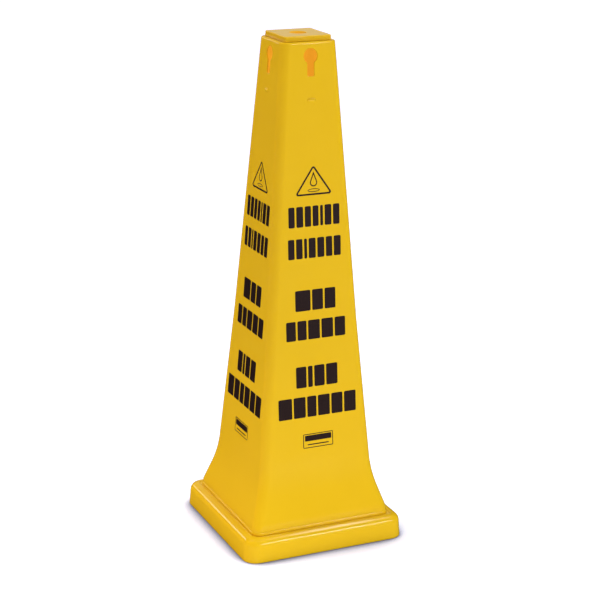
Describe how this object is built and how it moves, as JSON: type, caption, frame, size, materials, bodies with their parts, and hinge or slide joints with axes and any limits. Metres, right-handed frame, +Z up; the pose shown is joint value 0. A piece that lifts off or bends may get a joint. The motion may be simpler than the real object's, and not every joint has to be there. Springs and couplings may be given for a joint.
{
  "type": "wet floor cone",
  "caption": "Tall hollow four-sided yellow floor cone on a square base frame, with keyhole openings near the top and a capped top with a round hole.",
  "frame": {"origin": "centre of the square footprint, at floor level", "axes": "+Z up along the cone's axis; +X and +Y square to two of the four faces; the front face looks along -Y"},
  "size_m": [0.3112, 0.3112, 0.9144],
  "materials": {
    "yellow_plastic": "smooth moulded, glossy",
    "screw_steel": "zinc plated",
    "print_ink": "screen-printed ink, satin"
  },
  "bodies": {
    "root": {"cone_shell": "yellow_plastic", "base_frame": "yellow_plastic", "top_cap": "yellow_plastic", "corner_screw_1": "screw_steel", "corner_screw_2": "screw_steel", "corner_screw_3": "screw_steel", "corner_screw_4": "screw_steel"}
  },
  "joints": []
}
